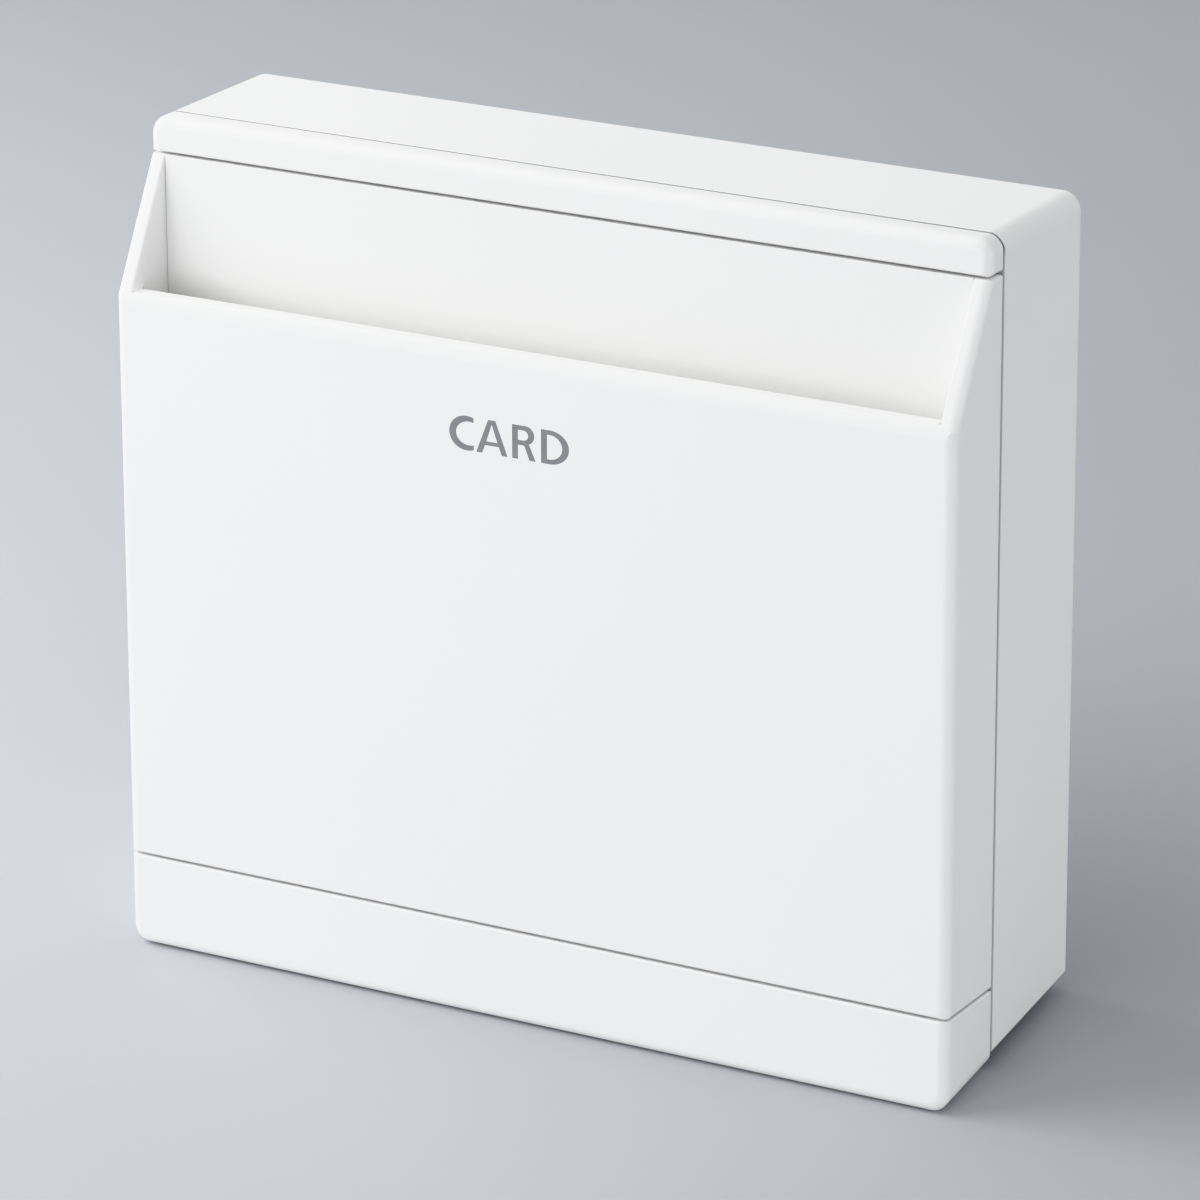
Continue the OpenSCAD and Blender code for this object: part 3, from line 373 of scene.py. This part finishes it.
# Board: solder mask over copper runs, bare laminate at the cut edges
boardLook = {
    "gap": (0.006, 0.060, 0.026),          # mask over bare laminate
    "copper": (0.020, 0.145, 0.055),       # mask over copper
    "laminate": (0.46, 0.41, 0.22),
    "runScale": 150.0,                     # runs to a metre
    "runSpread": 0.75,
    "gapWidth": 0.10,
    "grain": 2400.0,
    "grainShare": 0.25,                    # height of the grain against the runs
    "rough": (0.24, 0.36),
    "bump": 18.0,
}


def boardMaterial(name, look):
    material, tree, shader = newMaterial(name)
    coord = tree.nodes.new("ShaderNodeTexCoord")
    flat = addNode(tree, "ShaderNodeMapping")
    flat.inputs["Scale"].default_value = (1, 0, 1)     # the same runs through the board's thickness
    tree.links.new(coord.outputs["Object"], flat.inputs["Vector"])
    reaches = []
    for feature in ("F2", "F1"):                       # second and first nearest run
        cell = addNode(tree, "ShaderNodeTexVoronoi", distance="CHEBYCHEV", feature=feature,
                       Scale=look["runScale"], Randomness=look["runSpread"])
        tree.links.new(flat.outputs["Vector"], cell.inputs["Vector"])
        reaches.append(cell.outputs["Distance"])
    edge = mathNode(tree, "SUBTRACT", *reaches)        # straight and slanted edges, as runs are drawn
    copper = mathNode(tree, "GREATER_THAN", edge, look["gapWidth"])
    mask = mixColor(tree, copper, look["gap"], look["copper"])
    facing = tree.nodes.new("ShaderNodeSeparateXYZ")
    tree.links.new(coord.outputs["Normal"], facing.inputs[0])
    square = mathNode(tree, "ABSOLUTE", facing.outputs["Y"])
    cut = mathNode(tree, "LESS_THAN", square, facingShare)
    tree.links.new(mixColor(tree, cut, mask, look["laminate"]), shader.inputs["Base Color"])
    grain = placeGroup(tree, mouldedGrain, **{"Grain Scale": look["grain"]})
    tree.links.new(spread(tree, grain.outputs["Speck"], *look["rough"]), shader.inputs["Roughness"])
    rise = mathNode(tree, "MULTIPLY", grain.outputs["Height"], look["grainShare"])
    bumpTo(tree, shader, mathNode(tree, "ADD", copper, rise), look["bump"])
    return material


# Filter capacitor: shrunk sleeve with a pale stripe, bare aluminium in its front end
sleeveLook = {
    "node": "filter_capacitor",
    "tones": ((0.014, 0.018, 0.042), (0.024, 0.030, 0.062)),
    "stripe": (0.42, 0.44, 0.47),
    "stripeSide": (-0.8, 0.6),             # direction across the axis, X and Z
    "stripeWidth": 0.93,                   # closer to 1 is narrower
    "metal": (0.74, 0.75, 0.76),
    "endSpan": 0.74,                       # bare part of the end, against its radius
    "endDepth": 0.4,                       # millimetres from the front that count as the end
    "rough": (0.22, 0.32),
    "grain": 2800.0,
    "cloud": 240.0,
    "bump": 4.0,
}


def sleeveMaterial(name, look):
    low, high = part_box(look["node"])
    radius = (high.x - low.x) / 2
    material, tree, shader = newMaterial(name)
    coord = tree.nodes.new("ShaderNodeTexCoord")
    split = tree.nodes.new("ShaderNodeSeparateXYZ")
    tree.links.new(coord.outputs["Object"], split.inputs[0])
    across = mathNode(tree, "SUBTRACT", split.outputs["X"], (low.x + high.x) / 2)
    upward = mathNode(tree, "SUBTRACT", split.outputs["Z"], (low.z + high.z) / 2)
    sideX = mathNode(tree, "MULTIPLY", across, look["stripeSide"][0] / radius)
    sideZ = mathNode(tree, "MULTIPLY", upward, look["stripeSide"][1] / radius)
    stripe = mathNode(tree, "GREATER_THAN", mathNode(tree, "ADD", sideX, sideZ), look["stripeWidth"])
    squares = [mathNode(tree, "MULTIPLY", part, part) for part in (across, upward)]
    reach = mathNode(tree, "SQRT", mathNode(tree, "ADD", *squares))
    inner = mathNode(tree, "LESS_THAN", reach, radius * look["endSpan"])
    front = mathNode(tree, "LESS_THAN", split.outputs["Y"], low.y + look["endDepth"] * mm)
    bare = mathNode(tree, "MULTIPLY", inner, front)
    grain = placeGrain(tree, look)
    sleeve = mixColor(tree, spread(tree, grain.outputs["Cloud"]), *look["tones"])
    printed = mixColor(tree, stripe, sleeve, look["stripe"])
    tree.links.new(mixColor(tree, bare, printed, look["metal"]), shader.inputs["Base Color"])
    tree.links.new(bare, shader.inputs["Metallic"])
    tree.links.new(spread(tree, grain.outputs["Speck"], *look["rough"]), shader.inputs["Roughness"])
    bumpTo(tree, shader, grain.outputs["Height"], look["bump"])
    return material


slotMaterials = {name: plasticMaterial(name, look) for name, look in plastics.items()}
slotMaterials.update({name: metalMaterial(name, look) for name, look in metals.items()})
slotMaterials["board_green"] = boardMaterial("board_green", boardLook)
slotMaterials["sleeve_black"] = sleeveMaterial("sleeve_black", sleeveLook)
print("made", len(slotMaterials), "materials")


def dressNodes():
    for row in frame["record"]["subparts"]:
        obj = nodes[row["node"]]
        obj.data.materials.clear()
        obj.data.materials.append(slotMaterials[row["material_slot"]])


dressNodes()
print("materials on the nodes")


# Word on the pocket, printed in grey; millimetres from its left end and its baseline
cardWord = {
    "left": -8.71,           # on the pocket's front, from the middle
    "baseline": 17.46,
    "capHeight": 3.69,
    "overshoot": 0.05,       # round letters reach a little past the straight ones
    "ink": 0.012,            # thickness of the print
    "tones": ((0.218, 0.226, 0.236), (0.242, 0.250, 0.260)),
    "rough": (0.40, 0.50),
    "grain": 6000.0,
    "cloud": 420.0,
    "bump": 2.0,
    "arcSteps": 20,
}


def arcPoints(center, radii, start, end, steps):
    turns = [math.radians(start + (end - start) * i / steps) for i in range(steps + 1)]
    return [(center[0] + radii[0] * math.cos(t), center[1] + radii[1] * math.sin(t)) for t in turns]


def letterC(look):
    middle, steps = look["capHeight"] / 2, look["arcSteps"] * 2
    outer = {"center": (2.11, middle), "radii": (2.11, middle + look["overshoot"])}
    inner = {"center": (2.40, middle), "radii": (1.57, 1.29)}
    mouth = 2.95                                     # where the open side is cut off

    def opening(curve):
        return math.degrees(math.acos((mouth - curve["center"][0]) / curve["radii"][0]))

    outline = arcPoints(**outer, start=opening(outer), end=360 - opening(outer), steps=steps)
    outline += arcPoints(**inner, start=360 - opening(inner), end=opening(inner), steps=steps)
    return [outline]


def letterA(look):
    cap = look["capHeight"]
    middle, foot, tip, stroke = 5.13, 1.885, 0.44, 0.71
    barLow, barHigh = 0.90, 1.32
    peakHalf, peakDrop = 0.04, 0.55                  # the counter's blunt point
    peak = cap - peakDrop
    slope = (foot - tip) / cap                       # how far a side leans in for each millimetre up

    def inside(height):                              # half the width between the two strokes
        return foot - stroke - slope * height

    outline = [(middle - foot, 0), (middle - tip, cap), (middle + tip, cap), (middle + foot, 0),
               (middle + inside(0), 0), (middle + inside(barLow), barLow),
               (middle - inside(barLow), barLow), (middle - inside(0), 0)]
    counter = [(middle - inside(barHigh), barHigh), (middle + inside(barHigh), barHigh),
               (middle + peakHalf, peak), (middle - peakHalf, peak)]
    return [outline, counter]


def letterR(look):
    cap, steps = look["capHeight"], look["arcSteps"]
    left, stem = 7.56, 0.70
    bowl = {"turn": 1.63, "mid": 2.68, "reach": 1.03, "end": -68}
    hole = {"turn": 1.33, "mid": 2.63, "reach": 0.60, "half": 0.54}
    leg = {"right": 2.82, "left": 2.06, "knee": 1.50, "kneeUp": 1.44, "root": 1.32, "rootUp": 1.56}
    bowlRadii = (bowl["reach"], cap - bowl["mid"])
    outline = [(left, 0), (left, cap)]
    outline += arcPoints((left + bowl["turn"], bowl["mid"]), bowlRadii, 90, bowl["end"], steps)
    outline += [(left + leg["right"], 0), (left + leg["left"], 0), (left + leg["knee"], leg["kneeUp"]),
                (left + leg["root"], leg["rootUp"]), (left + stem, leg["rootUp"]), (left + stem, 0)]
    holeRadii = (hole["reach"], hole["half"])
    counter = [(left + stem, hole["mid"] + hole["half"])]
    counter += arcPoints((left + hole["turn"], hole["mid"]), holeRadii, 90, -90, steps)
    counter += [(left + stem, hole["mid"] - hole["half"])]
    return [outline, counter]


def letterD(look):
    cap, steps = look["capHeight"], look["arcSteps"] * 2
    left, stem, straight, right = 11.01, 0.72, 1.05, 14.35
    top, bow = 0.52, 0.82                            # the stroke's thickness, level and at the bend
    turn = left + straight
    outline = [(left, 0), (left, cap)]
    outline += arcPoints((turn, cap / 2), (right - turn, cap / 2), 90, -90, steps)
    counter = [(left + stem, cap - top)]
    counter += arcPoints((turn, cap / 2), (right - turn - bow, cap / 2 - top), 90, -90, steps)
    counter += [(left + stem, top)]
    return [outline, counter]


def inkMaterial(name, look):
    material, tree, shader = newMaterial(name)
    grain = placeGrain(tree, look)
    tone = mixColor(tree, spread(tree, grain.outputs["Cloud"]), *look["tones"])
    tree.links.new(tone, shader.inputs["Base Color"])
    tree.links.new(spread(tree, grain.outputs["Speck"], *look["rough"]), shader.inputs["Roughness"])
    bumpTo(tree, shader, grain.outputs["Height"], look["bump"])
    return material


def printWord(look):
    curve = bpy.data.curves.new("cardWord", "CURVE")
    curve.dimensions = "2D"
    curve.fill_mode = "BOTH"
    curve.extrude = look["ink"] * mm
    for letter in (letterC, letterA, letterR, letterD):
        for outline in letter(look):
            spline = curve.splines.new("POLY")
            spline.points.add(len(outline) - 1)
            for point, (x, z) in zip(spline.points, outline):
                point.co = (x * mm, z * mm, 0, 1)
            spline.use_cyclic_u = True
    drawn = bpy.data.objects.new("cardWordCurve", curve)
    bpy.context.scene.collection.objects.link(drawn)
    mesh = bpy.data.meshes.new_from_object(drawn.evaluated_get(bpy.context.evaluated_depsgraph_get()))
    bpy.data.objects.remove(drawn)
    mesh.name = "cardWord"
    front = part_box("pocket_front")[0].y
    for vertex in mesh.vertices:                     # stand the flat word up on the front
        x, z, out = vertex.co
        vertex.co = (x + look["left"] * mm, front - out, z + look["baseline"] * mm)
    mesh.materials.clear()
    mesh.materials.append(inkMaterial("printGrey", look))
    piece = bpy.data.objects.new("cardWord", mesh)
    bpy.context.scene.collection.objects.link(piece)
    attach(piece, "housing")


printWord(cardWord)
print("word printed")


# Solder round the leads behind the board, one small hollow-sided cone to a lead
solderJoint = {
    "height": 0.95,
    "foot": 1.05,            # radius on the board
    "neck": 0.40,            # radius at the lead
    "hollow": 2.4,           # power of the hollow side, 1 is straight
    "rings": 6,
    "sides": 16,
    "tailOut": 1.0,          # a point this far behind the board is on a lead's tail
    "leadSpan": 1.2,         # tail points closer than this are on one lead
    "slot": "tinned_lead",
}


def leadSpots(look):
    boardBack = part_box("circuit_board")[1].y
    tailStart = boardBack + look["tailOut"] * mm
    tails = [v.co for v in nodes["component_leads"].data.vertices if v.co.y > tailStart]
    groups = []
    for co in tails:
        for group in groups:
            if (group[0].x - co.x) ** 2 + (group[0].z - co.z) ** 2 < (look["leadSpan"] * mm) ** 2:
                group.append(co)
                break
        else:
            groups.append([co])
    middles = [((min(c.x for c in g) + max(c.x for c in g)) / 2,
                (min(c.z for c in g) + max(c.z for c in g)) / 2) for g in groups]
    return sorted(middles), boardBack


def flowSolder(look):
    spots, base = leadSpots(look)
    work = bmesh.new()
    sides = look["sides"]
    for x, z in spots:
        rings = []
        for i in range(look["rings"]):
            t = i / (look["rings"] - 1)
            radius = (look["neck"] + (look["foot"] - look["neck"]) * (1 - t) ** look["hollow"]) * mm
            y = base + look["height"] * t * mm
            rings.append([work.verts.new((x + radius * math.cos(a), y, z + radius * math.sin(a)))
                          for a in (2 * math.pi * s / sides for s in range(sides))])
        for lower, upper in zip(rings, rings[1:]):
            for s in range(sides):
                k = (s + 1) % sides
                work.faces.new((lower[s], upper[s], upper[k], lower[k]))
        work.faces.new(rings[0])
        work.faces.new(list(reversed(rings[-1])))
    bmesh.ops.recalc_face_normals(work, faces=work.faces)
    mesh = bpy.data.meshes.new("solderJoints")
    work.to_mesh(mesh)
    work.free()
    for face in mesh.polygons:
        face.use_smooth = len(face.vertices) == 4    # the side is smooth, the two ends flat
    mesh.materials.append(slotMaterials[look["slot"]])
    piece = bpy.data.objects.new("solderJoints", mesh)
    bpy.context.scene.collection.objects.link(piece)
    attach(piece, "housing")
    return len(spots)


print("soldered", flowSolder(solderJoint), "leads")


# Return spring: a smooth-shaded copy of the CAD spring takes its place, and the CAD spring is hidden
returnSpring = {
    "node": "return_spring",
    "wire": 0.5,
    "turns": 4,
    "pitch": 0.95,
    "slot": "spring_steel",
}


def windSpring(look):
    mesh = nodes[look["node"]].data.copy()
    mesh.name = "twistingSpring"
    for face in mesh.polygons:
        face.use_smooth = True
    piece = bpy.data.objects.new("twistingSpring", mesh)
    bpy.context.scene.collection.objects.link(piece)
    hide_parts(look["node"])
    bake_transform(piece)


windSpring(returnSpring)
print("spring wound")


# Floor: a pale, even sweep laid along the switch's sloping underside
floorLook = {
    "size": 40.0,
    "tones": ((0.414, 0.426, 0.454), (0.426, 0.438, 0.466)),
    "cloud": 6.0,
    "rough": 0.65,
    "lean": 9.0,             # degrees, as the underside slopes
    "drop": 0.2,             # millimetres under the strip
}


def makeFloor(look):
    lean = math.radians(look["lean"])
    square = Vector((0, -math.sin(lean), math.cos(lean)))
    level = min(v.co.dot(square) for v in nodes["bottom_strip"].data.vertices) - look["drop"] * mm
    half = look["size"] / 2
    slide = Vector((0, math.cos(lean), math.sin(lean)))
    mesh = bpy.data.meshes.new("floor")
    mesh.from_pydata([square * level + Vector((x, 0, 0)) + slide * y
                      for x, y in ((-half, -half), (half, -half), (half, half), (-half, half))],
                     [], [(0, 1, 2, 3)])
    obj = bpy.data.objects.new("floor", mesh)
    bpy.context.scene.collection.objects.link(obj)
    material, tree, shader = newMaterial("paleFloor")
    grain = placeGroup(tree, mouldedGrain, **{"Cloud Scale": look["cloud"]})
    tone = mixColor(tree, spread(tree, grain.outputs["Cloud"]), *look["tones"])
    tree.links.new(tone, shader.inputs["Base Color"])
    shader.inputs["Roughness"].default_value = look["rough"]
    mesh.materials.append(material)


makeFloor(floorLook)
print("floor laid")
